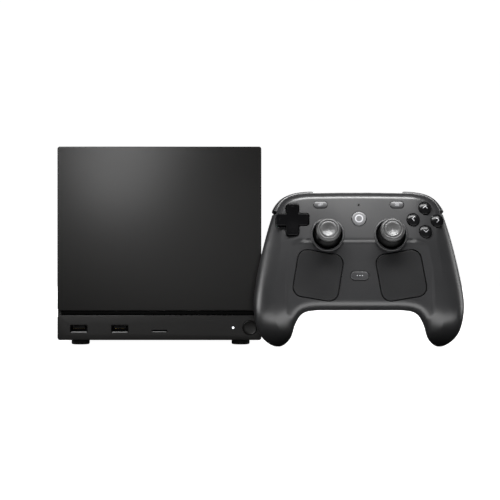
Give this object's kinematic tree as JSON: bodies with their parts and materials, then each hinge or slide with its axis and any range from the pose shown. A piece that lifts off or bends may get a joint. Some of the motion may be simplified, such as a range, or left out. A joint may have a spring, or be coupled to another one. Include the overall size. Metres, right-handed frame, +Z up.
{
  "type": "game console with controller",
  "caption": "Cube-shaped black game console with a port strip under its front plate, and a two-grip game controller with sticks and touch pads standing in front of its corner.",
  "frame": {"origin": "middle of the pair's footprint, on the surface that the console's feet and the controller's grips stand on", "axes": "+Z up; -Y is the front, which the console's plate and the controller's face look towards; +X to the right seen from the front, from the console towards the controller"},
  "size_m": [0.3086, 0.199, 0.152],
  "materials": {
    "case_shell": "satin",
    "case_front": "fine matte",
    "strip": "satin",
    "inner_plastic": "matte",
    "foot_rubber": "matte",
    "light_guide": "gloss",
    "socket_metal": "satin",
    "circuit_board": "satin",
    "chip": "matte",
    "sink": "satin",
    "can": "satin",
    "screw": "satin",
    "magnet": "gloss",
    "lamp": "glowing",
    "pad_shell": "fine matte",
    "gloss_key": "gloss",
    "matte_key": "satin",
    "stick_rubber": "satin",
    "touch_surface": "fine matte",
    "silicone": "matte",
    "cell": "wrapped"
  },
  "bodies": {
    "console": {"case_sleeve": "case_shell", "base_tray": "inner_plastic", "front_plate": "case_front", "plate_magnets": "magnet", "port_strip": "strip", "rear_panel": "case_shell", "light_bar": "light_guide", "front_port_board": "circuit_board", "front_usb_ports": "socket_metal", "card_reader": "socket_metal", "status_lens": "lamp", "mainboard": "circuit_board", "processors": "chip", "memory_modules": "circuit_board", "solid_state_drive": "circuit_board", "heat_sink": "sink", "fan_frame": "inner_plastic", "power_supply": "can", "rear_ports": "socket_metal", "mains_inlet": "inner_plastic", "feet": "foot_rubber", "case_screws": "screw"},
    "controller": {"pad_front_shell": "pad_shell", "pad_rear_shell": "pad_shell", "pad_board": "circuit_board", "battery": "cell", "stick_housings": "socket_metal", "button_membranes": "silicone", "haptic_motors": "socket_metal", "charge_port": "socket_metal", "pad_screws": "screw", "pad_lens": "lamp"},
    "power_button": {"power_button": "matte_key"},
    "fan_rotor": {"fan_rotor": "inner_plastic"},
    "dpad_rocker": {"dpad_rocker": "inner_plastic"},
    "dpad_cross": {"dpad_cross": "gloss_key"},
    "face_top": {"face_top": "gloss_key"},
    "face_right": {"face_right": "gloss_key"},
    "face_bottom": {"face_bottom": "gloss_key"},
    "face_left": {"face_left": "gloss_key"},
    "left_carriage": {"left_carriage": "inner_plastic"},
    "left_yoke": {"left_yoke": "inner_plastic"},
    "left_stick": {"left_stick": "stick_rubber"},
    "right_carriage": {"right_carriage": "inner_plastic"},
    "right_yoke": {"right_yoke": "inner_plastic"},
    "right_stick": {"right_stick": "stick_rubber"},
    "left_bumper": {"left_bumper": "gloss_key"},
    "right_bumper": {"right_bumper": "gloss_key"},
    "left_trigger": {"left_trigger": "gloss_key"},
    "right_trigger": {"right_trigger": "gloss_key"},
    "left_touch_pad": {"left_touch_pad": "touch_surface"},
    "right_touch_pad": {"right_touch_pad": "touch_surface"},
    "view_button": {"view_button": "matte_key"},
    "menu_button": {"menu_button": "matte_key"},
    "home_button": {"home_button": "matte_key"},
    "quick_button": {"quick_button": "matte_key"},
    "left_upper_paddle": {"left_upper_paddle": "matte_key"},
    "left_lower_paddle": {"left_lower_paddle": "matte_key"},
    "right_upper_paddle": {"right_upper_paddle": "matte_key"},
    "right_lower_paddle": {"right_lower_paddle": "matte_key"}
  },
  "joints": [
    {"name": "controller_lift", "type": "slide", "parent": "console", "child": "controller", "axis": [0, 0, 1], "range_m": [0, 0.12]},
    {"name": "power_button_press", "type": "slide", "parent": "console", "child": "power_button", "axis": [0, 1, 0], "range_m": [0, 0.0007], "stiffness_N_per_m": 300, "springref_m": -0.0005},
    {"name": "fan_spin", "type": "hinge", "parent": "console", "child": "fan_rotor", "pos_m": [-0.0763, 0.08462, 0.08795], "axis": [0, 1, 0], "continuous": true},
    {"name": "dpad_tilt_up_down", "type": "hinge", "parent": "controller", "child": "dpad_rocker", "pos_m": [0.025, -0.07518, 0.09456], "axis": [1, 0, 0], "range_deg": [-4, 4], "stiffness_Nm_per_rad": 0.05},
    {"name": "dpad_tilt_left_right", "type": "hinge", "parent": "dpad_rocker", "child": "dpad_cross", "pos_m": [0.025, -0.07518, 0.09456], "axis": [0, 0.2756, 0.9613], "range_deg": [-4, 4], "stiffness_Nm_per_rad": 0.05},
    {"name": "face_top_press", "type": "slide", "parent": "controller", "child": "face_top", "axis": [0, 0.9613, -0.2756], "range_m": [0, 0.0012], "stiffness_N_per_m": 300, "springref_m": -0.0005},
    {"name": "face_right_press", "type": "slide", "parent": "controller", "child": "face_right", "axis": [0, 0.9613, -0.2756], "range_m": [0, 0.0012], "stiffness_N_per_m": 300, "springref_m": -0.0005},
    {"name": "face_bottom_press", "type": "slide", "parent": "controller", "child": "face_bottom", "axis": [0, 0.9613, -0.2756], "range_m": [0, 0.0012], "stiffness_N_per_m": 300, "springref_m": -0.0005},
    {"name": "face_left_press", "type": "slide", "parent": "controller", "child": "face_left", "axis": [0, 0.9613, -0.2756], "range_m": [0, 0.0012], "stiffness_N_per_m": 300, "springref_m": -0.0005},
    {"name": "left_stick_press", "type": "slide", "parent": "controller", "child": "left_carriage", "axis": [0, 0.9613, -0.2756], "range_m": [0, 0.0004], "stiffness_N_per_m": 300, "springref_m": -0.0005},
    {"name": "left_stick_up_down", "type": "hinge", "parent": "left_carriage", "child": "left_yoke", "pos_m": [0.0512, -0.07801, 0.083], "axis": [1, 0, 0], "range_deg": [-18, 18], "stiffness_Nm_per_rad": 0.05},
    {"name": "left_stick_left_right", "type": "hinge", "parent": "left_yoke", "child": "left_stick", "pos_m": [0.0512, -0.07801, 0.083], "axis": [0, 0.2756, 0.9613], "range_deg": [-18, 18], "stiffness_Nm_per_rad": 0.05},
    {"name": "right_stick_press", "type": "slide", "parent": "controller", "child": "right_carriage", "axis": [0, 0.9613, -0.2756], "range_m": [0, 0.0004], "stiffness_N_per_m": 300, "springref_m": -0.0005},
    {"name": "right_stick_up_down", "type": "hinge", "parent": "right_carriage", "child": "right_yoke", "pos_m": [0.0988, -0.07801, 0.083], "axis": [1, 0, 0], "range_deg": [-18, 18], "stiffness_Nm_per_rad": 0.05},
    {"name": "right_stick_left_right", "type": "hinge", "parent": "right_yoke", "child": "right_stick", "pos_m": [0.0988, -0.07801, 0.083], "axis": [0, 0.2756, 0.9613], "range_deg": [-18, 18], "stiffness_Nm_per_rad": 0.05},
    {"name": "left_bumper_press", "type": "hinge", "parent": "controller", "child": "left_bumper", "pos_m": [0.045, -0.06533, 0.11088], "axis": [0, -0.9613, 0.2756], "range_deg": [0, 2.2], "stiffness_Nm_per_rad": 0.5, "springref_deg": -3},
    {"name": "right_bumper_press", "type": "hinge", "parent": "controller", "child": "right_bumper", "pos_m": [0.105, -0.06533, 0.11088], "axis": [0, 0.9613, -0.2756], "range_deg": [0, 2.2], "stiffness_Nm_per_rad": 0.5, "springref_deg": -3},
    {"name": "left_trigger_pull", "type": "hinge", "parent": "controller", "child": "left_trigger", "pos_m": [0.04, -0.05564, 0.10769], "axis": [-0.9781, -0.0573, -0.1999], "range_deg": [0, 16], "stiffness_Nm_per_rad": 0.1, "springref_deg": -10},
    {"name": "right_trigger_pull", "type": "hinge", "parent": "controller", "child": "right_trigger", "pos_m": [0.11, -0.05564, 0.10769], "axis": [-0.9781, 0.0573, 0.1999], "range_deg": [0, 16], "stiffness_Nm_per_rad": 0.1, "springref_deg": -10},
    {"name": "left_touch_pad_press", "type": "slide", "parent": "controller", "child": "left_touch_pad", "axis": [0, 0.9848, -0.1736], "range_m": [0, 0.0004], "stiffness_N_per_m": 300, "springref_m": -0.0005},
    {"name": "right_touch_pad_press", "type": "slide", "parent": "controller", "child": "right_touch_pad", "axis": [0, 0.9848, -0.1736], "range_m": [0, 0.0004], "stiffness_N_per_m": 300, "springref_m": -0.0005},
    {"name": "view_button_press", "type": "slide", "parent": "controller", "child": "view_button", "axis": [0, 0.9613, -0.2756], "range_m": [0, 0.0007], "stiffness_N_per_m": 300, "springref_m": -0.0005},
    {"name": "menu_button_press", "type": "slide", "parent": "controller", "child": "menu_button", "axis": [0, 0.9613, -0.2756], "range_m": [0, 0.0007], "stiffness_N_per_m": 300, "springref_m": -0.0005},
    {"name": "home_button_press", "type": "slide", "parent": "controller", "child": "home_button", "axis": [0, 0.9613, -0.2756], "range_m": [0, 0.0007], "stiffness_N_per_m": 300, "springref_m": -0.0005},
    {"name": "quick_button_press", "type": "slide", "parent": "controller", "child": "quick_button", "axis": [0, 0.9848, -0.1736], "range_m": [0, 0.0007], "stiffness_N_per_m": 300, "springref_m": -0.0005},
    {"name": "left_upper_paddle_press", "type": "slide", "parent": "controller", "child": "left_upper_paddle", "axis": [0, -0.9613, 0.2756], "range_m": [0, 0.0008], "stiffness_N_per_m": 300, "springref_m": -0.0005},
    {"name": "left_lower_paddle_press", "type": "slide", "parent": "controller", "child": "left_lower_paddle", "axis": [0, -0.9613, 0.2756], "range_m": [0, 0.0008], "stiffness_N_per_m": 300, "springref_m": -0.0005},
    {"name": "right_upper_paddle_press", "type": "slide", "parent": "controller", "child": "right_upper_paddle", "axis": [0, -0.9613, 0.2756], "range_m": [0, 0.0008], "stiffness_N_per_m": 300, "springref_m": -0.0005},
    {"name": "right_lower_paddle_press", "type": "slide", "parent": "controller", "child": "right_lower_paddle", "axis": [0, -0.9613, 0.2756], "range_m": [0, 0.0008], "stiffness_N_per_m": 300, "springref_m": -0.0005}
  ]
}
